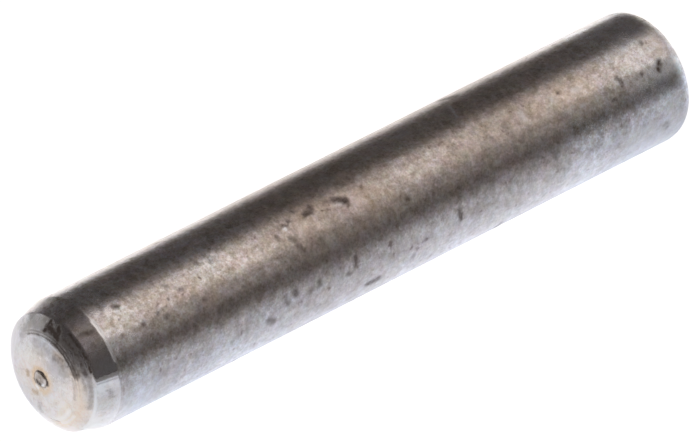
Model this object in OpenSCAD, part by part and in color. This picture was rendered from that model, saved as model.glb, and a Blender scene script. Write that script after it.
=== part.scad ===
// Parallel dowel pin, turned from one bar of steel and ground to size.
// It lies along X, with the chamfered lead end at -X and the crowned end at +X.
// The origin is the middle of the pin's length, on its axis.

/* [Shank] */
// Ground diameter of the shank
pin_d = 5; // [4.5:0.1:6]
// Overall length, from the tip of the parting nib to the top of the crown
pin_l = 30; // [10:0.5:60]

/* [Lead end] */
// Length of the lead chamfer along the axis
lead_l = 0.85; // [0.4:0.05:1.5]
// Angle between the lead chamfer and the axis
lead_angle = 16; // [10:1:25]
// Radius of the rounded shoulder between the chamfer and the end face
shoulder_r = 3.4; // [2.8:0.1:6]
// Diameter of the end face, where the shoulder starts
face_d = 3.2; // [2:0.1:4]
// Radius that crowns the end face
face_r = 7.2; // [5:0.1:20]

/* [Parting nib] */
// Diameter of the nib where it meets the end face
nib_foot_d = 0.64; // [0.5:0.02:1]
// Diameter of the nib's sheared tip
nib_tip_d = 0.44; // [0.2:0.02:0.48]
// Height of the nib above the top of the end face
nib_h = 0.05; // [0.02:0.01:0.2]

/* [Crowned end] */
// Radius of the crown
crown_r = 4.75; // [3.5:0.05:12]
// Radius that rounds the edge between the shank and the crown
edge_r = 0.5; // [0.1:0.05:0.8]

/* [Hidden] */
$fn = 160;

pin_r = pin_d / 2;
face_edge_r = face_d / 2;
lead_tip_r = pin_r - lead_l * tan(lead_angle);
nib_foot_r = nib_foot_d / 2;
nib_tip_r = nib_tip_d / 2;
edge_centre_r = pin_r - edge_r;

// Places along the axis, from the lead end to the crowned end
nib_tip_y = -pin_l / 2;
face_centre_y = nib_tip_y + nib_h + face_r;
nib_foot_y = face_centre_y - sqrt(pow(face_r, 2) - pow(nib_foot_r, 2));
face_edge_y = face_centre_y - sqrt(pow(face_r, 2) - pow(face_edge_r, 2));
shoulder_centre_y = face_edge_y + sqrt(pow(shoulder_r, 2) - pow(face_edge_r, 2));
lead_tip_y = shoulder_centre_y - sqrt(pow(shoulder_r, 2) - pow(lead_tip_r, 2));
shank_start_y = lead_tip_y + lead_l;
crown_centre_y = pin_l / 2 - crown_r;
shank_end_y = crown_centre_y + sqrt(pow(crown_r - edge_r, 2) - pow(edge_centre_r, 2));

// Where the crown's arc runs into the arc that rounds its edge
crown_edge_r = edge_centre_r * crown_r / (crown_r - edge_r);

// The chamfer's line at the level of the nib's tip, well inside the arc that cuts it off
lead_line_r = pin_r - (shank_start_y - nib_tip_y) * tan(lead_angle);

// The nib's flank carried on into the pin, down to the level of the end face's edge
nib_flank = (nib_foot_r - nib_tip_r) / (nib_foot_y - nib_tip_y);
nib_root_r = nib_tip_r + nib_flank * (face_edge_y - nib_tip_y);

// The half sections below are drawn with the radius along x and the pin's axis along y.

// Chamfer, rounded shoulder and crowned end face, running on into the shank
module lead_section() {
    intersection() {
        polygon([
            [0, nib_tip_y],
            [lead_line_r, nib_tip_y],
            [pin_r, shank_start_y],
            [0, shoulder_centre_y]
        ]);
        translate([0, shoulder_centre_y])
            circle(shoulder_r);
        translate([0, face_centre_y])
            circle(face_r);
    }
}

// Stub left where the pin was parted from the bar
module nib_section() {
    polygon([
        [0, nib_tip_y],
        [nib_tip_r, nib_tip_y],
        [nib_root_r, face_edge_y],
        [0, face_edge_y]
    ]);
}

// Straight ground length, which is what a reamed hole grips
module shank_section() {
    translate([0, shank_start_y])
        square([pin_r, shank_end_y - shank_start_y]);
}

// Crown, and the ring that rounds its edge into the shank. Both start inside the shank.
module crown_section() {
    intersection() {
        translate([0, crown_centre_y])
            circle(crown_r);
        translate([0, shank_end_y - edge_r])
            square([crown_edge_r, pin_l]);
    }
    translate([edge_centre_r, shank_end_y])
        circle(edge_r);
}

module dowel_pin() {
    color([0.56, 0.55, 0.53])
        rotate([0, 90, 0])
            rotate_extrude() {
                lead_section();
                nib_section();
                shank_section();
                crown_section();
            }
}

dowel_pin();
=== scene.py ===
import math
import random

import bpy
import numpy as np
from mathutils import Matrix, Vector, noise


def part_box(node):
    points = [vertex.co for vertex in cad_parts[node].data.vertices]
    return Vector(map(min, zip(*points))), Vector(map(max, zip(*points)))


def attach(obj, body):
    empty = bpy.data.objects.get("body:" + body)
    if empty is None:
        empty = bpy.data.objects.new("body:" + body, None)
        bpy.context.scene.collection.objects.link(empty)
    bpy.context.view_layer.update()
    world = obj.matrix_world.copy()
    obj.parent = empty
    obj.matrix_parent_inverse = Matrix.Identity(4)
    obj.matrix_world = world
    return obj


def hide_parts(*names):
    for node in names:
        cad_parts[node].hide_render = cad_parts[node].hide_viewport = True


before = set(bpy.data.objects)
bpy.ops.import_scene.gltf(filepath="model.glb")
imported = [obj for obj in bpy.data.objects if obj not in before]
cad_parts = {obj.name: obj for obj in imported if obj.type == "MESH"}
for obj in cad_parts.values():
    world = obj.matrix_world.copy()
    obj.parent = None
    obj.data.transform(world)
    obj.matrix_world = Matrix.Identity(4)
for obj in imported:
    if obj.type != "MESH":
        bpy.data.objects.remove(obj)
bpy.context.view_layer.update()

# A hardened steel dowel pin, ground on the shank and turned at both ends. It lies along X with its
# chamfered lead end at -X and its crowned end at +X. Lengths are in metres unless a comment gives
# them in millimetres, and angles are in degrees. An angle round the pin is measured up from the side
# that faces -Y, so 90 is the top of the pin. Shares and strengths run from 0 to about 1.

MM = 0.001
PIN_NODE = "dowel_pin"

# ---- Sizes from the frame --------------------------------------------------------------------------
PIN_LOW, PIN_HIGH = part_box(PIN_NODE)
PIN_R = PIN_HIGH.z
LEAD_X = PIN_LOW.x
CROWN_X = PIN_HIGH.x

# ---- Turned ends, as the part's design has them ----------------------------------------------------
NIB_TIP_R = 0.22 * MM
NIB_FOOT_R = 0.32 * MM
NIB_H = 0.05 * MM
FACE_EDGE_R = 1.6 * MM
FACE_SPHERE_R = 7.2 * MM
SHOULDER_SPHERE_R = 3.4 * MM
LEAD_L = 0.85 * MM
LEAD_ANGLE = 16.0
CROWN_SPHERE_R = 4.75 * MM
CROWN_EDGE_R = 0.5 * MM

# ---- Mesh ------------------------------------------------------------------------------------------
SEGMENTS = 224
OUTLINE_STEP = 0.002 * MM
# Rings of the mesh: (corner of the outline or None for its start, millimetres past that, spacing in
# millimetres from there on)
RING_STRETCHES = (
    (None, 0.0, 0.04),
    ("nib_foot", -0.16, 0.02),
    ("nib_foot", 0.06, 0.05),
    ("face_edge", -0.16, 0.02),
    ("face_edge", 0.36, 0.03),
    ("neck", -0.08, 0.02),
    ("neck", 0.08, 0.06),
    ("shank_start", -0.14, 0.028),
    ("shank_start", 0.14, 0.092),
    ("shank_end", -0.1, 0.05),
    ("shank_end", 0.6, 0.12),
)


def sphere_fall(sphere_r, radius):
    """How far a spherical cap has fallen back from its apex at that radius."""
    return sphere_r - np.sqrt(sphere_r ** 2 - radius ** 2)


def line_points(start, end):
    """Fine points on a straight line, without its last point."""
    count = max(2, int(math.dist(start, end) / OUTLINE_STEP))
    share = np.arange(count)[:, None] / count
    return np.array(start) + share * np.subtract(end, start)


def cap_points(apex_x, sphere_r, start_r, end_r):
    """Fine points on a cap that faces -X, from one radius to a larger one."""
    radii = np.arange(start_r, end_r, OUTLINE_STEP)
    return np.stack([apex_x + sphere_fall(sphere_r, radii), radii], axis=1)


def arc_points(centre, radius, start, end):
    """Fine points on an arc, from one angle in radians down to a smaller one."""
    turn = np.arange(start, end, -OUTLINE_STEP / radius)
    return np.stack([centre[0] + radius * np.cos(turn), centre[1] + radius * np.sin(turn)], axis=1)


def lead_points():
    """Stretches of the outline from the nib to the shank, and where their corners lie along X."""
    face_apex = LEAD_X + NIB_H
    nib_foot = (face_apex + sphere_fall(FACE_SPHERE_R, NIB_FOOT_R), NIB_FOOT_R)
    face_edge_x = face_apex + sphere_fall(FACE_SPHERE_R, FACE_EDGE_R)
    shoulder_apex = face_edge_x - sphere_fall(SHOULDER_SPHERE_R, FACE_EDGE_R)
    neck_r = PIN_R - LEAD_L * math.tan(math.radians(LEAD_ANGLE))
    neck = (shoulder_apex + sphere_fall(SHOULDER_SPHERE_R, neck_r), neck_r)
    shank_start = (neck[0] + LEAD_L, PIN_R)
    stretches = [
        line_points((LEAD_X, 0.0), (LEAD_X, NIB_TIP_R)),
        line_points((LEAD_X, NIB_TIP_R), nib_foot),
        cap_points(face_apex, FACE_SPHERE_R, NIB_FOOT_R, FACE_EDGE_R),
        cap_points(shoulder_apex, SHOULDER_SPHERE_R, FACE_EDGE_R, neck_r),
        line_points(neck, shank_start),
    ]
    corners = {
        "nib_foot": nib_foot[0],
        "face_edge": face_edge_x,
        "neck": neck[0],
        "shank_start": shank_start[0],
    }
    return stretches, corners


def crown_points(shank_start_x):
    """Stretches of the outline from the shank to the crown's middle, and where the shank ends along X."""
    crown_centre = (CROWN_X - CROWN_SPHERE_R, 0.0)
    edge_r = PIN_R - CROWN_EDGE_R
    edge_reach = math.sqrt((CROWN_SPHERE_R - CROWN_EDGE_R) ** 2 - edge_r ** 2)
    edge_centre = (crown_centre[0] + edge_reach, edge_r)
    meeting = math.atan2(edge_r, edge_reach)
    stretches = [
        line_points((shank_start_x, PIN_R), (edge_centre[0], PIN_R)),
        arc_points(edge_centre, CROWN_EDGE_R, math.pi / 2, meeting),
        arc_points(crown_centre, CROWN_SPHERE_R, meeting, 0.0),
        [(CROWN_X, 0.0)],
    ]
    return stretches, {"shank_end": edge_centre[0]}


def true_outline():
    """The half section as fine (x, radius) points from nib to crown, and where its corners lie along X."""
    lead, lead_corners = lead_points()
    crown, crown_corners = crown_points(lead_corners["shank_start"])
    return np.concatenate(lead + crown), {**lead_corners, **crown_corners}


OUTLINE, CORNER_X = true_outline()
RUN = np.concatenate([[0.0], np.cumsum(np.hypot(*np.diff(OUTLINE, axis=0).T))])
CORNER_RUN = {name: RUN[np.argmax(OUTLINE[:, 0] >= x - 1e-9)] for name, x in CORNER_X.items()}


def ring_runs():
    """Lengths along the outline at which the rings lie, all but the one at the very start."""
    starts = [CORNER_RUN.get(corner, 0.0) + beyond * MM for corner, beyond, _ in RING_STRETCHES]
    ends = starts[1:] + [RUN[-1]]
    runs = []
    for low, high, (_, _, spacing) in zip(starts, ends, RING_STRETCHES):
        count = max(1, round((high - low) / (spacing * MM)))
        runs.append(np.linspace(low, high, count, endpoint=False))
    return np.concatenate(runs)[1:]


# How widely wear rounds each corner, and how far along the outline that reaches
CORNER_WEAR = (
    ("nib_foot", 0.010 * MM, 0.04 * MM),
    ("face_edge", 0.012 * MM, 0.05 * MM),
    ("neck", 0.030 * MM, 0.12 * MM),
    ("shank_start", 0.034 * MM, 0.09 * MM),
    ("shank_end", 0.150 * MM, 0.40 * MM),
)
# How widely the rest of the outline is rounded
SHARPEST = 0.003 * MM


def worn_outline(runs):
    """The outline's points and outward normals at those lengths along it, with its corners worn round."""
    width = np.full(len(runs), SHARPEST)
    for name, wear, reach in CORNER_WEAR:
        width += wear * np.exp(-(((runs - CORNER_RUN[name]) / reach) ** 2))
    points = np.zeros((len(runs), 2))
    for k, run in enumerate(runs):
        weight = np.exp(-0.5 * ((RUN - run) / width[k]) ** 2)
        points[k] = weight @ OUTLINE / weight.sum()
    along = np.gradient(points, runs, axis=0)
    along /= np.hypot(*along.T)[:, None]
    return points, np.stack([-along[:, 1], along[:, 0]], axis=1)


# What the material is told about each point: dirt and painted shade, and rust, on the steel; bright nicks
# and painted glints; how smooth and how even the steel is, where it is satin, and how brown it is
MASKS = ("dirt", "rust", "pale", "polish", "plain", "satin", "tarnish")
# How sharply a mark ends: a lower number makes its edge softer
MARK_EDGE = 3.0
DENT_EDGE = 2.2
RUST_EDGE = 1.6
# A mark's strength at its half width is e to the minus this
MARK_FALL = 1.2


class Skin:
    """Places and surface masks of the pin's skin, as arrays with a row for each ring."""

    def __init__(self):
        self.run = ring_runs()
        points, self.normal = worn_outline(self.run)
        turn = np.arange(SEGMENTS) * 360.0 / SEGMENTS
        self.angle = np.where(turn > 180, turn - 360, turn)[None, :] + 0 * points[:, :1]
        self.x = points[:, :1] + 0 * self.angle
        self.radius = points[:, 1:] + 0 * self.angle
        self.across = self.radius * np.cos(np.radians(self.angle))
        self.up = self.radius * np.sin(np.radians(self.angle))
        self.sink = np.zeros_like(self.x)
        for name in MASKS:
            setattr(self, name, np.zeros_like(self.x))
        self.lead = self.x < CORNER_X["shank_start"]

    def waver(self, cells_per_mm, seed):
        """Smooth noise from about -1 to 1 over the skin."""
        place = np.stack([self.x, -self.across, self.up], axis=2).reshape(-1, 3) / MM * cells_per_mm + seed
        return np.array([noise.noise(p) for p in place]).reshape(self.x.shape)


def stroke(along, around, points, width, rough, edge=MARK_EDGE):
    """1 near the line through the points, falling to 0 beyond that half width, with a ragged edge."""
    nearest = np.full(along.shape, np.inf)
    ends = points[1:] or points[:1]
    for (x0, y0), (x1, y1) in zip(points, ends):
        step = np.array([x1 - x0, y1 - y0])
        reach = max(step @ step, 1e-18)
        share = np.clip(((along - x0) * step[0] + (around - y0) * step[1]) / reach, 0, 1)
        off_x = along - x0 - share * step[0]
        off_y = around - y0 - share * step[1]
        nearest = np.minimum(nearest, np.hypot(off_x, off_y))
    return np.exp(-MARK_FALL * np.maximum(nearest * (1 + rough) / width, 0) ** edge)


def between(value, low, high):
    """Smooth step: 0 below low and 1 above high."""
    share = np.clip((value - low) / (high - low), 0, 1)
    return share * share * (3 - 2 * share)


def past(skin, corner, low, high):
    """Smooth step from 0 to 1 along the outline, between two places in millimetres past a corner."""
    return between(skin.run[:, None], CORNER_RUN[corner] + low * MM, CORNER_RUN[corner] + high * MM)


def facing(skin, angle, low, high):
    """Smooth step from 0 to 1 round the pin towards that angle, between two cosines of the angle from it."""
    return between(np.cos(np.radians(skin.angle - angle)), low, high)


def add_mark(skin, mask, shape, depth):
    """Adds a mark to a mask, and sinks the skin below it."""
    skin.sink[:] = np.maximum(skin.sink, depth * shape ** 2)
    mask[:] = np.maximum(mask, shape)


# Marks on the shank: points as (millimetres along X, angle round the pin), then half width in
# millimetres and strength. Each is a shallow pit with dirt in it.
SHANK_PITS = (
    (((-12.37, 67.5), (-12.2, 66.5)), 0.10, 0.65),
    (((-12.76, 42.0),), 0.09, 0.45),
    (((-11.73, 43.0),), 0.11, 0.70),
    (((-11.02, 45.0), (-10.92, 45.5)), 0.09, 0.65),
    (((-10.75, 47.0), (-10.5, 47.5)), 0.08, 0.25),
    (((-10.76, 40.0), (-10.66, 40.0)), 0.10, 0.70),
    (((-10.3, 52.0),), 0.10, 0.55),
    (((-10.15, 65.0), (-10.0, 62.0)), 0.10, 0.25),
    (((-9.68, 55.0), (-9.52, 53.5)), 0.08, 0.45),
    (((-8.97, 39.0),), 0.11, 0.55),
    (((-8.42, 73.0), (-8.38, 68.0)), 0.10, 0.40),
    (((-7.85, 64.0),), 0.13, 0.35),
    (((-6.4, -3.5), (-6.15, -7.5)), 0.16, 0.50),
    (((-5.6, 9.0), (-5.45, 3.0)), 0.15, 0.45),
    (((-5.12, 10.0), (-5.05, 7.5)), 0.12, 0.60),
    (((-4.95, 57.0),), 0.13, 0.50),
    (((-4.4, 64.0), (-4.25, 62.5)), 0.08, 0.60),
    (((-4.1, 65.5),), 0.10, 0.60),
    (((-4.45, 50.5), (-4.3, 49.0)), 0.13, 0.45),
    (((-4.3, 43.0), (-4.2, 38.0)), 0.12, 0.50),
    (((-4.35, 4.5),), 0.14, 0.38),
    (((-3.96, 8.0), (-3.90, 5.0)), 0.14, 0.48),
    (((-3.7, 72.0),), 0.12, 0.65),
    (((-3.35, 64.0), (-3.1, 64.5), (-2.98, 68.0)), 0.16, 0.66),
    (((-3.35, 41.0), (-3.3, 33.0)), 0.10, 0.45),
    (((-2.60, 2.0), (-2.48, 1.0)), 0.12, 0.42),
    (((-2.20, 7.0), (-2.12, 14.5)), 0.14, 0.66),
    (((-2.35, 66.0), (-2.0, 65.0)), 0.08, 0.30),
    (((-1.97, 64.0), (-1.72, 62.5), (-1.53, 58.5)), 0.15, 0.76),
    (((-1.53, 57.0), (-1.62, 53.0)), 0.08, 0.45),
    (((-1.3, 77.0), (-1.2, 75.0)), 0.24, 0.60),
    (((-0.85, 78.5), (-0.8, 75.0)), 0.22, 0.60),
    (((-1.50, -20.5), (-0.95, -21.5)), 0.15, 0.60),
    (((0.68, -14.5),), 0.12, 0.35),
    (((0.82, 37.0),), 0.12, 0.80),
    (((2.86, 9.5), (2.92, 0.0)), 0.13, 0.72),
    (((5.3, 50.0),), 0.12, 0.25),
    (((5.45, 116.0), (5.75, 110.0)), 0.20, 0.45),
    (((6.1, 55.0),), 0.14, 0.30),
    (((7.65, 18.0), (7.6, 11.0)), 0.12, 0.35),
    (((8.85, 59.5),), 0.09, 0.70),
    (((10.7, -6.0),), 0.15, 0.25),
    (((10.82, 33.0), (10.9, 32.0)), 0.12, 0.80),
    (((11.15, 34.0),), 0.10, 0.55),
    (((11.40, 47.5), (11.48, 43.0)), 0.10, 0.78),
    (((11.42, 40.0),), 0.09, 0.75),
    (((12.45, 41.5),), 0.10, 0.80),
    (((12.7, 76.0),), 0.14, 0.45),
    (((13.12, -10.0), (13.2, -14.0)), 0.15, 0.35),
    (((13.22, 66.0),), 0.11, 0.35),
    (((13.21, 38.8), (13.26, 41.5)), 0.14, 0.85),
    (((13.29, 41.5), (13.37, 45.0)), 0.12, 0.80),
    (((13.46, 41.5),), 0.08, 0.60),
)
# Bright nicks on the shank, given in the same way. The first four, on the edge where the chamfer meets the
# shank, are a painted glint.
SHANK_NICKS_AND_GLINT = (
    # Painted glint along the edge where the chamfer meets the shank
    (((-13.45, 80.0), (-13.46, 66.0)), 0.035, 0.35),
    (((-13.46, 64.0), (-13.45, 58.0), (-13.46, 52.0)), 0.095, 1.7),
    (((-13.45, 50.0), (-13.45, 41.0), (-13.46, 28.0)), 0.070, 1.3),
    (((-13.46, 14.0), (-13.46, -40.0)), 0.03, 0.35),
    (((-4.42, 60.5),), 0.075, 1.6),
    (((-2.1, 60.0), (-1.8, 58.0)), 0.07, 0.2),
    (((-0.4, 73.5),), 0.09, 0.5),
    (((4.75, 82.0), (5.05, 97.0)), 0.05, 0.7),
    (((4.95, 31.5), (5.15, 30.5)), 0.07, 0.5),
    (((6.95, 58.0), (6.95, 52.0)), 0.14, 0.4),
    (((9.45, 55.5), (9.75, 54.5)), 0.14, 0.4),
    (((9.4, 41.0), (9.6, 40.5)), 0.08, 0.5),
)
PIT_DEPTH = 0.012 * MM
NICK_DEPTH = 0.004 * MM

# Small random pits on the side that has no listed marks: how many; between which millimetres along X and
# which angles; how far their ends may lie from their starts in each; and their half widths and strengths
HIDDEN_PITS = 70
HIDDEN_STRETCH = (-13.0, 13.6)
HIDDEN_SIDE = (122.0, 325.0)
HIDDEN_LENGTH = 0.2
HIDDEN_TURN = 5
HIDDEN_WIDTHS = (0.06, 0.13)
HIDDEN_STRENGTHS = (0.3, 0.8)
PIT_SEED = 5


def hidden_pits():
    """Random small pits for the pin's far side."""
    draw = random.Random(PIT_SEED)
    pits = []
    for _ in range(HIDDEN_PITS):
        x = draw.uniform(*HIDDEN_STRETCH)
        angle = draw.uniform(*HIDDEN_SIDE)
        if angle > 180:
            angle -= 360
        end_x = x + draw.uniform(-HIDDEN_LENGTH, HIDDEN_LENGTH)
        end_angle = angle + draw.uniform(-HIDDEN_TURN, HIDDEN_TURN)
        points = ((x, angle), (end_x, end_angle))
        pits.append((points, draw.uniform(*HIDDEN_WIDTHS), draw.uniform(*HIDDEN_STRENGTHS)))
    return pits


def mark_shank(skin, rough):
    """Pits with dirt in them, bright nicks, and a painted glint on the chamfer's edge, at their places on
    the shank.
    """
    along, around = skin.x, np.radians(skin.angle) * PIN_R
    for marks, mask, depth in (
        (SHANK_PITS, skin.dirt, PIT_DEPTH),
        (hidden_pits(), skin.dirt, PIT_DEPTH),
        (SHANK_NICKS_AND_GLINT, skin.pale, NICK_DEPTH),
    ):
        for points, width, strength in marks:
            line = [(x * MM, math.radians(angle) * PIN_R) for x, angle in points]
            add_mark(skin, mask, strength * stroke(along, around, line, width * MM, rough), depth)


# How brown the steel is along the pin: (millimetres along X, 0 clean to 1 brown)
TARNISH_ALONG = (
    (-14.0, 0.1),
    (-13.3, 0.1),
    (-12.5, 0.05),
    (-11.0, 0.3),
    (-8.5, 0.3),
    (-6.0, 0.3),
    (-4.0, 0.9),
    (-1.0, 0.9),
    (2.0, 0.7),
    (5.5, 0.9),
    (8.0, 0.7),
    (10.5, 0.3),
    (12.0, 0.03),
    (14.1, 0.05),
    (14.6, 0.35),
)
# Cleaner and browner patches: (millimetres along X, angle), radius in millimetres, change
TARNISH_PATCHES = (
    ((-7.8, 66.0), 1.5, -0.30),
    ((-5.1, 40.0), 0.9, -0.35),
    ((-8.5, 26.0), 1.2, 0.30),
    ((-2.7, 70.0), 1.6, 0.35),
    ((-5.0, 92.0), 2.0, 0.15),
    ((-4.2, 44.0), 0.8, 0.30),
    ((5.8, 56.0), 1.2, 0.15),
    ((7.5, 44.0), 1.0, -0.25),
    ((9.3, 12.0), 1.2, -0.45),
    ((7.9, 64.0), 0.9, 0.30),
    ((-3.1, 58.5), 0.6, -0.50),
    ((-7.0, 56.0), 1.0, 0.20),
    ((13.0, 50.0), 1.2, -0.18),
    ((13.7, 61.0), 0.6, 0.35),
    ((13.3, 34.0), 0.7, -0.20),
    ((-12.3, 40.0), 0.7, -0.10),
    ((-10.7, 40.0), 0.8, -0.12),
    ((10.4, 29.0), 0.7, -0.20),
    ((12.0, 29.0), 0.7, -0.20),
    ((13.5, 29.0), 0.6, -0.20),
    ((-8.0, 36.0), 0.8, 0.30),
    ((-6.3, 41.0), 0.5, -0.20),
    ((-7.7, 50.0), 0.6, -0.20),
    ((-3.1, 34.0), 0.6, 0.30),
    ((-6.1, 0.0), 1.0, 0.25),
    ((2.0, 73.0), 0.8, -0.35),
    ((6.0, 42.0), 1.0, 0.25),
    ((8.8, 28.0), 0.6, -0.40),
    ((12.4, 52.0), 0.8, 0.12),
    ((12.0, -28.0), 1.0, 0.25),
)
# Broad unevenness of the brown: its strength, cells to a millimetre and seed
TARNISH_WAVER = (0.22, 0.7, 21.3)


def patch(skin, place, reach):
    """1 at a place on the shank, given as in the lists of patches, and fading away from it."""
    turn = (skin.angle - place[1] + 180) % 360 - 180
    distance = np.hypot(skin.x - place[0] * MM, np.radians(turn) * PIN_R) / (reach * MM)
    return np.exp(-(distance ** 2))


def tarnish_shank(skin):
    """How brown the surface is at each place."""
    places, levels = zip(*TARNISH_ALONG)
    strength, cells, seed = TARNISH_WAVER
    skin.tarnish[:] = np.interp(skin.x / MM, places, levels)
    skin.tarnish += strength * skin.waver(cells, seed)
    for place, reach, change in TARNISH_PATCHES:
        skin.tarnish += change * patch(skin, place, reach)


# Rusty patches on the shank: (millimetres along X, angle), radius in millimetres, strength
SHANK_RUST = (
    ((-3.4, 58.0), 0.8, 0.16),
    ((-0.6, 48.0), 0.8, 0.14),
    ((8.9, 56.0), 0.55, 0.26),
    ((9.6, 44.0), 0.8, 0.18),
    ((-12.3, 40.0), 0.8, 0.12),
    ((-10.5, 40.0), 1.0, 0.14),
    ((-8.6, 38.0), 0.8, 0.14),
    ((-6.2, 40.0), 0.8, 0.12),
    ((7.6, 50.0), 0.7, 0.14),
)


def rust_shank(skin):
    """Faint rust in patches on the shank."""
    for place, reach, strength in SHANK_RUST:
        skin.rust[:] = np.maximum(skin.rust, strength * patch(skin, place, reach))


# Marks on the lead end: points as (millimetres from the pin's axis, angle round the pin), then half width
# in millimetres and strength. These are the dark dents in the shoulder.
END_DENTS = (
    (((2.16, 91.0), (1.84, 93.0)), 0.09, 1.1),
    (((1.97, 92.0), (1.93, 82.0), (1.86, 73.0)), 0.15, 1.1),
    (((2.10, 79.0), (1.98, 75.0)), 0.12, 1.0),
    (((2.08, 87.5), (2.00, 85.5)), 0.07, 1.0),
)
# Stains and dark turning marks on the nib, face, shoulder and chamfer, and painted shade over the shoulder's
# right side
END_STAINS_AND_SHADE = (
    (((1.25, 62.0), (1.42, 44.0)), 0.20, 0.45),
    (((1.40, 100.0), (1.35, 70.0), (1.35, 40.0)), 0.50, 0.30),
    (((0.85, 58.0), (0.90, 40.0)), 0.30, 0.18),
    (((0.00, 0.0), (0.02, 90.0)), 0.30, 0.45),
    (((1.42, 62.0), (1.50, 50.0)), 0.10, 0.55),
    (((1.30, 36.0), (1.42, 28.0)), 0.14, 0.35),
    (((0.68, 183.0), (0.72, 193.0)), 0.11, 0.30),
    (((0.84, 238.0), (0.72, 252.0)), 0.12, 0.22),
    (((0.17, 222.0), (0.19, 268.0)), 0.11, 0.9),
    (((0.10, 150.0), (0.05, 60.0)), 0.12, 0.3),
    (((0.33, 10.0), (0.37, -16.0)), 0.055, 0.9),
    (((0.36, 200.0), (0.36, 225.0)), 0.04, 0.5),
    (((1.36, 262.0), (1.16, 263.0)), 0.13, 0.20),
    (((1.62, -77.0), (1.66, -66.0)), 0.07, 0.2),
    (((1.63, 122.0), (1.63, 62.0)), 0.028, 0.55),
    (((1.72, 118.0), (1.72, 70.0)), 0.026, 0.45),
    (((1.81, 112.0), (1.81, 74.0)), 0.024, 0.35),
    # Painted shade: broad dark strokes over the shoulder's right side, darkest just inside the chamfer's
    # edge
    (((1.68, 74.0), (1.74, 56.0), (1.74, 26.0)), 0.17, 0.70),
    (((2.19, 68.0), (2.20, 48.0), (2.20, 26.0)), 0.055, 0.9),
    (((1.98, 68.0), (2.02, 50.0), (2.02, 24.0)), 0.10, 0.75),
    (((2.06, 26.0), (2.09, 5.0), (2.05, -14.0)), 0.09, 0.30),
    (((1.90, 28.0), (1.94, 8.0)), 0.06, 0.25),
    (((1.58, 24.0), (1.56, -6.0)), 0.07, 0.20),
    (((1.75, 134.0), (1.85, 112.0), (2.00, 98.0)), 0.30, 0.28),
    (((2.33, 60.0), (2.41, 57.0)), 0.07, 0.7),
    (((2.30, 45.0), (2.42, 42.0)), 0.04, 0.4),
    (((2.38, 5.0), (2.42, -4.0)), 0.04, 0.3),
    (((2.34, -14.0), (2.36, -24.0)), 0.03, 0.15),
    (((2.36, 0.0), (2.36, -48.0)), 0.16, 0.09),
)
# Rust round the nib, and browner patches
END_RUST = (
    (((0.38, 40.0), (0.41, 130.0), (0.38, 185.0)), 0.17, 0.90),
    (((0.58, 95.0), (0.62, 150.0)), 0.28, 0.40),
    (((0.40, 190.0), (0.48, 232.0), (0.44, 290.0)), 0.18, 0.75),
    (((0.40, 30.0), (0.46, -35.0), (0.53, -75.0)), 0.18, 0.75),
    (((0.75, 90.0), (0.85, 170.0), (0.80, 260.0)), 0.42, 0.30),
    (((0.68, 183.0), (0.72, 193.0)), 0.17, 0.80),
    (((0.84, 238.0), (0.72, 252.0)), 0.18, 0.75),
    (((0.00, 0.0), (0.05, 90.0)), 0.30, 0.45),
    (((1.42, 64.0), (1.50, 50.0)), 0.16, 0.45),
    (((0.95, -30.0), (1.00, -80.0)), 0.30, 0.15),
    (((1.70, 26.0), (1.82, -20.0), (1.80, -70.0)), 0.30, 0.42),
    (((1.40, -20.0), (1.50, -60.0)), 0.25, 0.30),
)
# Bright spots and bright turning marks: painted highlights on the nib, the face and its edge, and the
# chamfer's corner
END_NICKS_AND_GLINTS = (
    (((0.46, 240.0), (0.46, 252.0)), 0.07, 0.65),
    (((0.22, -30.0), (0.24, -55.0)), 0.04, 0.8),
    (((1.52, -30.0), (1.56, -50.0), (1.58, -74.0)), 0.09, 0.42),
    (((1.74, -34.0), (1.76, -62.0)), 0.07, 0.30),
    (((1.54, 122.0), (1.54, 95.0), (1.54, 66.0)), 0.035, 0.22),
    (((2.20, 10.0), (2.21, -15.0), (2.21, -45.0)), 0.045, 0.6),
)
DENT_DEPTH = 0.003 * MM
ARC_STEP = 4.0


def arc_line(points):
    """Places across and up the end, on arcs through points given as in the lists of marks."""
    line = []
    for (r0, a0), (r1, a1) in zip(points[:-1], points[1:]):
        count = max(1, int(abs(a1 - a0) / ARC_STEP))
        for k in range(count):
            share = k / count
            line.append((r0 + share * (r1 - r0), a0 + share * (a1 - a0)))
    line.append(points[-1])
    return [(r * MM * math.cos(math.radians(a)), r * MM * math.sin(math.radians(a))) for r, a in line]


def mark_lead_end(skin, rough):
    """Dents in the shoulder, and stains, painted shade, rust and painted highlights on the end."""
    for marks, mask, depth, edge in (
        (END_DENTS, skin.dirt, DENT_DEPTH, DENT_EDGE),
        (END_STAINS_AND_SHADE, skin.dirt, 0.0, MARK_EDGE),
        (END_RUST, skin.rust, 0.0, RUST_EDGE),
        (END_NICKS_AND_GLINTS, skin.pale, 0.0, MARK_EDGE),
    ):
        for points, width, strength in marks:
            shape = strength * stroke(skin.across, skin.up, arc_line(points), width * MM, rough, edge)
            add_mark(skin, mask, np.where(skin.lead, shape, 0), depth)


# The dirty ring round the nib, darker on its upper right side with painted shade: its radius as a share of
# the nib's foot, how far that wavers, its width and depth, its shaded side as facing() takes it, and its
# strength on the other side
NIB_RING_SHARE = 0.97
NIB_RING_WAVER = 0.1
NIB_RING_WIDTH = 0.035 * MM
NIB_RING_DEPTH = 0.012 * MM
NIB_RING_SHADED_SIDE = (45.0, -0.2, 0.5)
NIB_RING_LEAST = 0.45
# The turning rings: where they start from the face's edge; how far past that they are complete, begin to
# fade and end; and how much their depth wavers
RING_PITCH = 0.09 * MM
RING_DEPTH = 0.0055 * MM
RING_START = -0.06 * MM
RING_RISE = 0.05 * MM
RING_FADE = 0.2 * MM
RING_REACH = 0.34 * MM
RING_WAVER = 0.6


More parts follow.
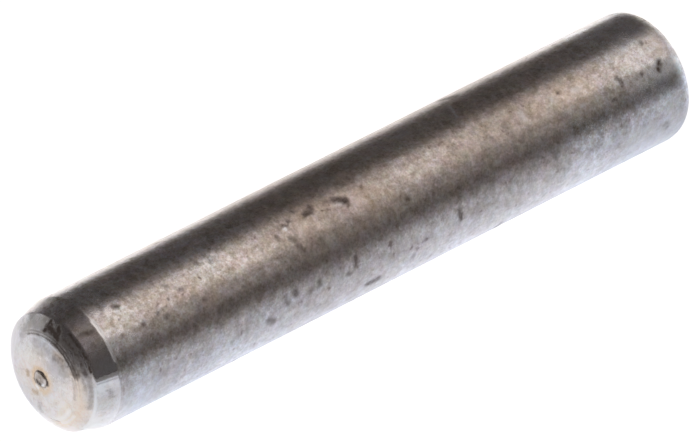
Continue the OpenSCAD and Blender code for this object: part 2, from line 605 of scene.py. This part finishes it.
def ring_nib(skin, rough):
    """The dirty ring round the nib, darker with painted shade on its upper right side."""
    offset = skin.radius - NIB_FOOT_R * (NIB_RING_SHARE + NIB_RING_WAVER * rough)
    side = NIB_RING_LEAST + (1 - NIB_RING_LEAST) * facing(skin, *NIB_RING_SHADED_SIDE)
    dirt = np.where(skin.lead, np.exp(-((offset / NIB_RING_WIDTH) ** 2)) * side, 0)
    skin.dirt[:] = np.maximum(skin.dirt, dirt)
    skin.sink += NIB_RING_DEPTH * dirt


def turn_shoulder(skin, rough):
    """The turning rings, from just inside the face's edge out over the shoulder."""
    beyond = skin.radius - FACE_EDGE_R - RING_START
    fade = between(beyond, 0, RING_RISE) * (1 - between(beyond, RING_FADE, RING_REACH))
    waves = 0.5 + 0.5 * np.cos(2 * math.pi * (beyond - RING_RISE) / RING_PITCH)
    skin.sink += np.where(skin.lead, RING_DEPTH * fade * waves * (1 + RING_WAVER * rough), 0)


# Where each part of the pin begins, as past() takes it
SHOULDER = ("face_edge", -0.1, 0.1)
CHAMFER = ("neck", -0.05, 0.02)
SHANK = ("shank_start", -0.03, 0.03)
SATIN_CROWN = ("shank_end", -0.4, 0.1)
PLAINER_CROWN = ("shank_end", 0.3, 0.7)
# How smooth the lead end is. The chamfer is fully smooth below the first angle of its low side, and as
# rough as the shank above the last angle of its top.
FACE_POLISH = 0.3
SHOULDER_POLISH = 0.6
CHAMFER_POLISH = 0.15
CHAMFER_LOW_SIDE = (24.0, 42.0)
CHAMFER_TOP = (70.0, 84.0)
# How much less brown the chamfer's low side is
COOL_CHAMFER = 0.20
# How even the steel looks, from 0 mottled to 1 plain: low on the side that shows, and more so near both
# ends; behind; towards the crowned end; on the crown; and where it is smooth
PLAIN_UNDER = 0.42
PLAIN_NEAR_ENDS = 0.28
PLAIN_BEHIND = 0.5
PLAIN_FAR_END = 0.3
PLAIN_CROWN = 0.75
PLAIN_SMOOTH = 0.75
SMOOTH_TO_PLAIN = 2.5
# The two sides, as facing() takes them, and how far from the pin's middle its ends begin
LOW_SIDE = (-40.0, 0.5, 0.95)
FAR_SIDE = (221.0, -0.44, -0.2)
NEAR_ENDS = (10.0 * MM, 12.5 * MM)
FAR_END = (11.0 * MM, 13.0 * MM)


def polish_lead_end(skin):
    """How smooth each part is, from 0 on the ground shank to 1 on the low side of the chamfer."""
    shoulder = past(skin, *SHOULDER)
    chamfer = past(skin, *CHAMFER)
    lead = 1 - past(skin, *SHANK)
    low_side = 1 - between(skin.angle, *CHAMFER_LOW_SIDE)
    top = between(skin.angle, *CHAMFER_TOP)
    chamfer_level = CHAMFER_POLISH + (1 - CHAMFER_POLISH) * low_side - CHAMFER_POLISH * top
    ends = FACE_POLISH + (SHOULDER_POLISH - FACE_POLISH) * shoulder
    skin.polish[:] = (ends * (1 - chamfer) + chamfer_level * chamfer) * lead
    skin.tarnish -= COOL_CHAMFER * low_side * chamfer * lead


def even_out(skin):
    """How even each part looks, from 0 where it is mottled to 1 where it is plain."""
    near_ends = between(np.abs(skin.x), *NEAR_ENDS)
    for level in (
        (PLAIN_UNDER + PLAIN_NEAR_ENDS * near_ends) * facing(skin, *LOW_SIDE),
        PLAIN_BEHIND * facing(skin, *FAR_SIDE),
        PLAIN_FAR_END * between(skin.x, *FAR_END),
        PLAIN_CROWN * past(skin, *PLAINER_CROWN),
        np.clip(SMOOTH_TO_PLAIN * skin.polish, 0, PLAIN_SMOOTH),
    ):
        skin.plain[:] = np.maximum(skin.plain, level)


# Small unevenness of marks and rings: (strength, cells to a millimetre, seed) of each layer of noise
ROUGH_LAYERS = ((0.4, 5.0, 3.7), (0.35, 10.0, 9.1))


def build_skin():
    """The pin's whole skin, with all that is on it."""
    skin = Skin()
    rough = sum(strength * skin.waver(cells, seed) for strength, cells, seed in ROUGH_LAYERS)
    tarnish_shank(skin)
    rust_shank(skin)
    mark_shank(skin, rough)
    mark_lead_end(skin, rough)
    ring_nib(skin, rough)
    turn_shoulder(skin, rough)
    polish_lead_end(skin)
    even_out(skin)
    skin.satin[:] = past(skin, *SATIN_CROWN)
    return skin


def ring_faces(rings, first, last):
    """Quads between the rings, and a fan of triangles at each end of the pin."""
    faces = []
    for k in range(rings - 1):
        here, there = k * SEGMENTS, (k + 1) * SEGMENTS
        for j in range(SEGMENTS):
            n = (j + 1) % SEGMENTS
            faces.append((here + j, here + n, there + n, there + j))
    end = (rings - 1) * SEGMENTS
    for j in range(SEGMENTS):
        n = (j + 1) % SEGMENTS
        faces.append((first, n, j))
        faces.append((last, end + j, end + n))
    return faces


def skin_mesh(skin):
    """The pin as one closed mesh, each point sunk below the true surface, with its masks as attributes."""
    x = skin.x - skin.sink * skin.normal[:, :1]
    radius = skin.radius - skin.sink * skin.normal[:, 1:]
    turn = np.radians(skin.angle)
    rings = np.stack([x, -radius * np.cos(turn), radius * np.sin(turn)], axis=2).reshape(-1, 3)
    verts = np.concatenate([rings, [(LEAD_X, 0, 0), (CROWN_X, 0, 0)]])
    mesh = bpy.data.meshes.new("pin_skin")
    mesh.from_pydata(verts.tolist(), [], ring_faces(len(skin.run), len(rings), len(rings) + 1))
    mesh.polygons.foreach_set("use_smooth", [True] * len(mesh.polygons))
    for name in MASKS:
        values = np.append(getattr(skin, name).ravel(), [0.0, 0.0])
        mesh.attributes.new(name, "FLOAT", "POINT").data.foreach_set("value", values.astype(np.float32))
    mesh.update()
    return mesh


# ---- Material --------------------------------------------------------------------------------------
WHITE = (1.0, 1.0, 1.0, 1)
# Steel's colours from clean to brown: (how brown, colour)
STEEL_TONES = (
    (-0.2, (0.85, 0.895, 0.925, 1)),
    (0.0, (0.75, 0.745, 0.74, 1)),
    (0.35, (0.655, 0.62, 0.59, 1)),
    (1.0, (0.555, 0.505, 0.465, 1)),
)
# Colour of the dirt in the marks, which also paints shade on the shoulder and on one side of the nib's ring
DIRT_AND_SHADE = (0.18, 0.145, 0.125, 1)
RUST = (0.74, 0.56, 0.36, 1)
# Colour of the bright nicks, which also paints highlights and glints on the edges and the end
BRIGHT_NICK_AND_GLINT = (0.92, 0.97, 1.0, 1)
CLEAN_ROUGHNESS = 0.27
TARNISHED_ROUGHNESS = 0.345
POLISHED_ROUGHNESS = 0.10
SATIN_ROUGHNESS = 0.4
DIRT_ROUGHNESS = 0.65
DIRT_METALLIC = 0.6
# Layers of noise: (cells to a millimetre, octaves, each octave's strength as a share of the last one's)
MOTTLE_GRAIN = (1.1, 4.0, 1.0)
FINE_GRAIN = (3.3, 3.0, 0.9)
BROKEN_GRAIN = (6.0, 2.0, 0.8)
SPECK_GRAIN = (3.4, 2.0, 0.6)
HUE_GRAIN = (1.7, 4.0, 0.9)
BUMP_GRAIN = (4.0, 3.0, 0.8)
BUMP_DEPTH = 0.008 * MM
# Noise levels at which its changes are fully one way and fully the other
NOISE_SPAN = (0.3, 0.7)
# Strength of the dirt and painted shade in the marks, and of specks, at two levels of their noise: (levels,
# then strengths)
BROKEN_DIRT_AND_SHADE = (0.35, 0.65, 1.3, 0.75)
SPECKS = (0.64, 0.74, 0.0, 0.45)
# How far the noise changes the steel's shade and its brown
MOTTLE_SHADE = 0.31
FINE_SHADE = 0.25
FINE_TARNISH = 0.3
# How far the hue wanders in red, green and blue, and how strongly a change of shade shows in each
HUE_SPAN = (0.43, 0.18, 0.59)
SHADE_SPAN = (1.0, 1.06, 1.18)
# How much of the brown's noise, the specks, the hue's changes and the bump is left where the steel is plain
PLAIN_TARNISH = 0.25
PLAIN_SPECKS = 0.2
PLAIN_HUE = 0.4
PLAIN_BUMP = 0.15


def add_node(tree, kind, *values, **settings):
    """A shader node: values go to its inputs in order, and each is a socket, a constant or None."""
    node = tree.nodes.new("ShaderNode" + kind)
    for name, value in settings.items():
        setattr(node, name, value)
    for k, value in enumerate(values):
        if isinstance(value, bpy.types.NodeSocket):
            tree.links.new(value, node.inputs[k])
        elif value is not None:
            node.inputs[k].default_value = value
    return node


def maths(tree, operation, *values, clamp=False):
    """The result of a Math node."""
    return add_node(tree, "Math", *values, operation=operation, use_clamp=clamp).outputs[0]


def scaled(tree, value, factor, offset=(0.0, 0.0, 0.0)):
    """A vector or colour times a factor, plus an offset."""
    return add_node(tree, "VectorMath", value, factor, offset, operation="MULTIPLY_ADD").outputs[0]


def blend(tree, share, first, second, kind="MIX"):
    """Colour mix: first where share is 0 and second where it is 1."""
    node = tree.nodes.new("ShaderNodeMix")
    node.data_type = "RGBA"
    node.blend_type = kind
    for name, value in (("Factor_Float", share), ("A_Color", first), ("B_Color", second)):
        socket = next(s for s in node.inputs if s.identifier == name)
        if isinstance(value, bpy.types.NodeSocket):
            tree.links.new(value, socket)
        else:
            socket.default_value = value
    return next(s for s in node.outputs if s.identifier == "Result_Color")


def ranged(tree, value, low, high, to_low=0.0, to_high=1.0):
    """The value moved from one range to another, and held inside it."""
    return add_node(tree, "MapRange", value, low, high, to_low, to_high).outputs[0]


def grain(tree, place, layer, output="Fac"):
    """Fractal noise from 0 to 1, as a number or a colour, from one of the layers above."""
    cells_per_mm, octaves, falloff = layer
    moved = scaled(tree, place, (cells_per_mm / MM,) * 3)
    return add_node(tree, "TexNoise", moved, None, 1.0, octaves, falloff).outputs[output]


def swing(tree, noisy, reach):
    """Noise as a change from -reach to reach."""
    return ranged(tree, noisy, *NOISE_SPAN, -reach, reach)


def tone_ramp(tree, level, stops):
    """Colour ramp with stops given as (place, colour)."""
    ramp = add_node(tree, "ValToRGB", level)
    elements = ramp.color_ramp.elements
    while len(elements) < len(stops):
        elements.new(0.5)
    for element, (place, _) in zip(elements, stops):
        element.position = place
    for element, (_, colour) in zip(elements, stops):
        element.color = colour
    return ramp.outputs[0]


def hue_change(tree, place):
    """Slight changes of hue from spot to spot, as a colour to multiply by."""
    rest = tuple(1 - span / 2 for span in HUE_SPAN)
    return scaled(tree, grain(tree, place, HUE_GRAIN, "Color"), HUE_SPAN, rest)


def steel_colour(tree, mask, place, fine, tarnish, dirt):
    """Base colour: steel from clean to brown, mottled, with rust, dirt and painted shade, and bright metal
    and painted highlights on top.
    """
    cleanest = STEEL_TONES[0][0]
    stops = [((level - cleanest) / (1 - cleanest), tone) for level, tone in STEEL_TONES]
    colour = tone_ramp(tree, tarnish, stops)
    mottle = swing(tree, grain(tree, place, MOTTLE_GRAIN), MOTTLE_SHADE)
    change = maths(tree, "ADD", mottle, swing(tree, fine, -FINE_SHADE))
    change = maths(tree, "MULTIPLY", change, maths(tree, "SUBTRACT", 1.0, mask["plain"]))
    colour = blend(tree, 1.0, colour, scaled(tree, change, SHADE_SPAN, WHITE[:3]), "MULTIPLY")
    hue_share = ranged(tree, mask["plain"], 0.0, 1.0, 1.0, PLAIN_HUE)
    colour = blend(tree, hue_share, colour, hue_change(tree, place), "MULTIPLY")
    colour = blend(tree, mask["rust"], colour, RUST)
    colour = blend(tree, dirt, colour, DIRT_AND_SHADE)
    return blend(tree, mask["pale"], colour, BRIGHT_NICK_AND_GLINT)


def tarnish_level(tree, mask, fine):
    """How brown the steel is, from 0 for the first of its tones to 1 for the last."""
    share = ranged(tree, mask["plain"], 0.0, 0.7, 1.0, PLAIN_TARNISH)
    uneven = maths(tree, "MULTIPLY", swing(tree, fine, FINE_TARNISH), share)
    return ranged(tree, maths(tree, "ADD", mask["tarnish"], uneven), STEEL_TONES[0][0], 1.0)


def dirt_and_shade_level(tree, mask, place):
    """How dirty and shaded the steel is painted: broken dirt and painted shade in its marks, and fine specks
    between them.
    """
    broken = ranged(tree, grain(tree, place, BROKEN_GRAIN), *BROKEN_DIRT_AND_SHADE)
    marks = maths(tree, "MULTIPLY", mask["dirt"], broken, clamp=True)
    specks = ranged(tree, grain(tree, place, SPECK_GRAIN), *SPECKS)
    share = ranged(tree, mask["plain"], 0.3, 0.6, 1.0, PLAIN_SPECKS)
    return maths(tree, "MAXIMUM", marks, maths(tree, "MULTIPLY", specks, share))


def roughness_level(tree, mask, tarnish, dirt):
    """Roughness of clean and brown steel, and of its smooth, satin, dirty and shade-painted parts."""
    rough = ranged(tree, tarnish, 0.0, 1.0, CLEAN_ROUGHNESS, TARNISHED_ROUGHNESS)
    for share, level in (
        (mask["polish"], POLISHED_ROUGHNESS),
        (mask["satin"], SATIN_ROUGHNESS),
        (dirt, DIRT_ROUGHNESS),
    ):
        rough = ranged(tree, share, 0.0, 1.0, rough, level)
    return rough


def fine_bump(tree, mask, place):
    """Slight unevenness of the ground surface."""
    bump = add_node(tree, "Bump")
    tree.links.new(ranged(tree, mask["plain"], 0.0, 0.6, 1.0, PLAIN_BUMP), bump.inputs["Strength"])
    bump.inputs["Distance"].default_value = BUMP_DEPTH
    tree.links.new(grain(tree, place, BUMP_GRAIN), bump.inputs["Height"])
    return bump.outputs[0]


def ground_steel():
    """Ground steel: mottled grey with brown tarnish, dirt in its pits, rust round the nib, and painted shade
    and highlights on its end and edges.
    """
    material = bpy.data.materials.new("ground_steel")
    material.use_nodes = True
    tree = material.node_tree
    shader = tree.nodes["Principled BSDF"]
    place = add_node(tree, "TexCoord").outputs["Object"]
    mask = {}
    for name in MASKS:
        mask[name] = add_node(tree, "Attribute", attribute_name=name).outputs["Fac"]
    fine = grain(tree, place, FINE_GRAIN)
    tarnish = tarnish_level(tree, mask, fine)
    dirt = dirt_and_shade_level(tree, mask, place)
    for name, level in (
        ("Base Color", steel_colour(tree, mask, place, fine, tarnish, dirt)),
        ("Metallic", ranged(tree, dirt, 0.0, 1.0, 1.0, DIRT_METALLIC)),
        ("Roughness", roughness_level(tree, mask, tarnish, dirt)),
        ("Normal", fine_bump(tree, mask, place)),
    ):
        tree.links.new(level, shader.inputs[name])
    return material


# ---- Stage -----------------------------------------------------------------------------------------
# The camera looks at the middle of the pin
CAMERA_AZIMUTH = -43.33
CAMERA_ELEVATION = 32.41
CAMERA_DISTANCE = 0.5645
CAMERA_LENS = 820.2
CAMERA_SHIFT = (-0.0037, 0.0006)

# The table shows in the metal as a softly lit sheet: (place across Y, how brightly), from in front of the
# pin to behind it
TABLE_GLOW = (
    (-60 * MM, 0.00),
    (-18 * MM, 0.01),
    (-12 * MM, 0.31),
    (-9 * MM, 0.46),
    (-7 * MM, 0.51),
    (-4.5 * MM, 0.585),
    (-2.5 * MM, 0.89),
    (-1.8 * MM, 1.05),
    (-1.2 * MM, 1.22),
    (4 * MM, 1.25),
    (8 * MM, 1.3),
    (18 * MM, 1.3),
    (24 * MM, 0.85),
)
# The same past the lead end, where the sheet is lit more evenly but for a dark line 20 mm in front
SIDE_GLOW = (
    (-60 * MM, 0.02),
    (-31 * MM, 0.02),
    (-28 * MM, 0.50),
    (-22 * MM, 0.50),
    (-20.5 * MM, 0.10),
    (-19 * MM, 0.10),
    (-17.5 * MM, 0.60),
    (-8 * MM, 0.55),
    (-4.5 * MM, 0.63),
    (-2.5 * MM, 0.78),
    (0.3 * MM, 0.87),
    (1.8 * MM, 0.81),
    (8 * MM, 0.80),
)
# That part begins and is complete this far in from the lead end, and it widens away from the pin
SIDE_START = 3.0 * MM
SIDE_FULL = 1.5 * MM
SIDE_SPREAD = 0.22
# Its colour across Y
SIDE_TINTS = (
    (-3.2 * MM, (0.94, 0.965, 1.05, 1)),
    (-2 * MM, (0.985, 0.97, 0.995, 1)),
    (0.3 * MM, (0.985, 0.97, 0.995, 1)),
    (1.5 * MM, (0.95, 0.965, 1.04, 1)),
)
# The part past the crowned end, which is lit evenly: its glow in front and behind, the places across Y
# between which that changes, its soft edge's width, and how fast it draws back in front of the pin
CROWN_GLOW = 0.85
CROWN_GLOW_BEHIND = 1.25
CROWN_SIDES = (2 * MM, 14 * MM)
CROWN_FADE = 2 * MM
CROWN_SPREAD = 1.4
# What Y is multiplied by at the lead end and at the crowned end, which draws the glow's places across Y in
# at the one and spreads them at the other
TABLE_TAPER = (1.15, 0.66)
TAPER_REACH = 20 * MM
# The sheet's colour across Y
TABLE_TINTS = (
    (-14 * MM, (0.90, 0.945, 1.085, 1)),
    (-3 * MM, (0.86, 0.94, 1.12, 1)),
    (-1 * MM, (0.86, 0.945, 1.12, 1)),
    (4 * MM, (1.0, 0.955, 0.945, 1)),
)
# How the glow in front of and under the shank changes along X, and the places across Y between which that
# fades out behind it
LENGTH_FADE = (3 * MM, 8 * MM)
LENGTH_GLOW = (
    (-13 * MM, 0.73),
    (-5 * MM, 0.88),
    (-2 * MM, 0.97),
    (9 * MM, 0.95),
    (12 * MM, 0.67),
    (14 * MM, 0.57),
    (18 * MM, 0.66),
    (22 * MM, 1.00),
)
# The table: half its width, its own colour, and how white it is to the camera
TABLE_HALF = 4.0
TABLE_COLOUR = (0.8, 0.8, 0.8, 1)
TABLE_WHITE = 0.93
# The dim room as the metal shows it: its colour, and how bright it is from its front, at -1, to its back,
# at 1
ROOM_TINT = (1.0, 0.87, 0.86, 1)
ROOM_LEVELS = (
    (-1.0, 0.082),
    (-0.75, 0.071),
    (0.2, 0.071),
    (0.42, 0.055),
    (0.6, 0.055),
    (0.78, 0.085),
    (1.0, 0.085),
)
# The white horizon: the heights on a unit sphere between which it gives way to the dim room, and its glow in
# the metal
HORIZON_HEIGHTS = (0.011, 0.0154)
HORIZON_IN_METAL = 0.03
# Lamps: name, place, width, depth, radiance, colour, and whether it faces straight down or at the pin
LAMPS = (
    ("softbox", (0.8, -0.3705, 1.0), 1.1, 0.921, 0.75, (1.0, 0.875, 0.82), True),
    ("softbox_rim", (0.8, 0.15, 1.0), 1.1, 0.12, 0.32, (1.0, 0.90, 0.86), True),
    ("softbox_edge", (0.02, -0.42, 1.0), 0.46, 0.86, 0.12, (1.0, 0.84, 0.80), True),
    ("fill", (0.75, -1.25, 0.93), 1.0, 0.9, 0.21, (1.0, 0.90, 0.86), False),
    ("side_card", (-0.9, 1.1, 0.3), 1.0, 0.6, 0.47, (1.0, 0.97, 0.965), False),
    ("right_card", (1.2, -0.1, 0.32), 1.3, 0.6, 0.86, (1.0, 0.98, 0.98), False),
    ("back_card", (0.04, 1.17, 0.2), 0.85, 0.35, 0.28, (1.0, 0.98, 0.98), False),
    ("corner_card", (1.0, 0.625, 0.187), 0.38, 0.38, 1.0, (1.0, 0.98, 0.98), False),
)


def direction(azimuth, elevation):
    """Unit vector from the pin to the camera's side; azimuth 0 is at -Y and 90 at +X."""
    a, e = math.radians(azimuth), math.radians(elevation)
    return Vector((math.sin(a) * math.cos(e), -math.cos(a) * math.cos(e), math.sin(e)))


def aim(thing, away):
    """Turns a camera or lamp so that it looks against the direction away."""
    thing.rotation_mode = "QUATERNION"
    thing.rotation_quaternion = (-away).to_track_quat("-Z", "Y")


def add_object(name, data):
    """A new object in the scene."""
    made = bpy.data.objects.new(name, data)
    bpy.context.scene.collection.objects.link(made)
    return made


def add_camera():
    """A long lens at the photograph's viewing angle."""
    data = bpy.data.cameras.new("camera")
    data.lens = CAMERA_LENS
    data.sensor_width = 36.0
    data.shift_x, data.shift_y = CAMERA_SHIFT
    data.clip_start = 0.01
    data.clip_end = 20.0
    camera = add_object("camera", data)
    away = direction(CAMERA_AZIMUTH, CAMERA_ELEVATION)
    camera.location = away * CAMERA_DISTANCE
    aim(camera, away)
    bpy.context.scene.camera = camera


def add_lamp(name, place, width, depth, radiance, colour, down):
    """A soft rectangular lamp at that place, aimed straight down or at the pin."""
    data = bpy.data.lights.new(name, "AREA")
    data.shape = "RECTANGLE"
    data.size = width
    data.size_y = depth
    data.energy = radiance * math.pi * width * depth
    data.color = colour
    lamp = add_object(name, data)
    lamp.location = place
    aim(lamp, Vector((0, 0, 1)) if down else Vector(place).normalized())


def tint_ramp(tree, place, stops):
    """Colour at that place along one axis, from stops given as (metres, colour)."""
    low, high = stops[0][0], stops[-1][0]
    shades = [((where - low) / (high - low), colour) for where, colour in stops]
    return tone_ramp(tree, ranged(tree, place, low, high), shades)


def glow_ramp(tree, place, stops):
    """Glow at that place along one axis, from stops given as (metres, glow)."""
    return tint_ramp(tree, place, [(where, (glow, glow, glow, 1)) for where, glow in stops])


def past_lead_end(tree, x, y):
    """Where the table is past the pin's lead end: 0 by the shank and 1 past the end."""
    spread = maths(tree, "MULTIPLY_ADD", maths(tree, "ABSOLUTE", y), -SIDE_SPREAD, x)
    return ranged(tree, spread, LEAD_X + SIDE_START, LEAD_X + SIDE_FULL)


def table_glow(tree, x, y, past_lead):
    """How brightly each place on the table shows in the metal."""
    tapered = maths(tree, "MULTIPLY", y, ranged(tree, x, -TAPER_REACH, TAPER_REACH, *TABLE_TAPER))
    along = ranged(tree, y, *LENGTH_FADE, glow_ramp(tree, x, LENGTH_GLOW), 1.0)
    glow = maths(tree, "MULTIPLY", glow_ramp(tree, tapered, TABLE_GLOW), along)
    drawn_back = maths(tree, "MULTIPLY_ADD", maths(tree, "MINIMUM", y, 0.0), CROWN_SPREAD, x)
    past_crown = ranged(tree, drawn_back, CROWN_X, CROWN_X + CROWN_FADE)
    crown_glow = ranged(tree, y, *CROWN_SIDES, CROWN_GLOW, CROWN_GLOW_BEHIND)
    glow = ranged(tree, past_crown, 0.0, 1.0, glow, crown_glow)
    return ranged(tree, past_lead, 0.0, 1.0, glow, glow_ramp(tree, y, SIDE_GLOW))


def table_material():
    """White table, which glows in the metal with its own lights and darks."""
    material = bpy.data.materials.new("pale_table")
    material.use_nodes = True
    tree = material.node_tree
    tree.nodes.clear()
    x, y, _ = add_node(tree, "SeparateXYZ", add_node(tree, "TexCoord").outputs["Object"]).outputs
    past_lead = past_lead_end(tree, x, y)
    tint = blend(tree, past_lead, tint_ramp(tree, y, TABLE_TINTS), tint_ramp(tree, y, SIDE_TINTS))
    ray = add_node(tree, "LightPath").outputs
    seen = ray["Is Camera Ray"]
    mirrored = maths(tree, "MAXIMUM", ray["Is Glossy Ray"], ray["Is Transmission Ray"])
    mirrored = maths(tree, "MULTIPLY", mirrored, table_glow(tree, x, y, past_lead))
    strength = maths(tree, "ADD", maths(tree, "MULTIPLY", seen, TABLE_WHITE), mirrored)
    emission = add_node(tree, "Emission", blend(tree, seen, tint, WHITE), strength)
    diffuse = add_node(tree, "BsdfDiffuse", TABLE_COLOUR)
    both = add_node(tree, "AddShader", emission.outputs[0], diffuse.outputs[0])
    add_node(tree, "OutputMaterial", both.outputs[0])
    return material


def add_table():
    """The table that the pin lies on."""
    corners = []
    for x, y in ((-1, -1), (1, -1), (1, 1), (-1, 1)):
        corners.append((x * TABLE_HALF, y * TABLE_HALF, -PIN_R))
    mesh = bpy.data.meshes.new("table")
    mesh.from_pydata(corners, [], [(0, 1, 2, 3)])
    mesh.materials.append(table_material())
    table = add_object("table", mesh)


def add_room():
    """Dim room with a thin white horizon, so that the table's far edge doesn't show."""
    world = bpy.data.worlds.new("room")
    bpy.context.scene.world = world
    world.use_nodes = True
    tree = world.node_tree
    _, y, z = add_node(tree, "SeparateXYZ", add_node(tree, "TexCoord").outputs["Generated"]).outputs
    ray = add_node(tree, "LightPath").outputs["Is Camera Ray"]
    white = ranged(tree, ray, 0.0, 1.0, HORIZON_IN_METAL, 1.0)
    dim = glow_ramp(tree, y, ROOM_LEVELS)
    level = ranged(tree, z, *HORIZON_HEIGHTS, white, dim)
    background = tree.nodes["Background"]
    tree.links.new(blend(tree, ray, ROOM_TINT, WHITE), background.inputs["Color"])
    tree.links.new(level, background.inputs["Strength"])


def add_pin():
    """The pin's skin, which stands for the plain CAD solid."""
    mesh = skin_mesh(build_skin())
    mesh.materials.append(ground_steel())
    pin = add_object("pin_skin", mesh)
    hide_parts(PIN_NODE)
    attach(pin, "root")


add_camera()
add_pin()
add_table()
add_room()
for lamp in LAMPS:
    add_lamp(*lamp)
bpy.context.scene.view_settings.view_transform = "Standard"
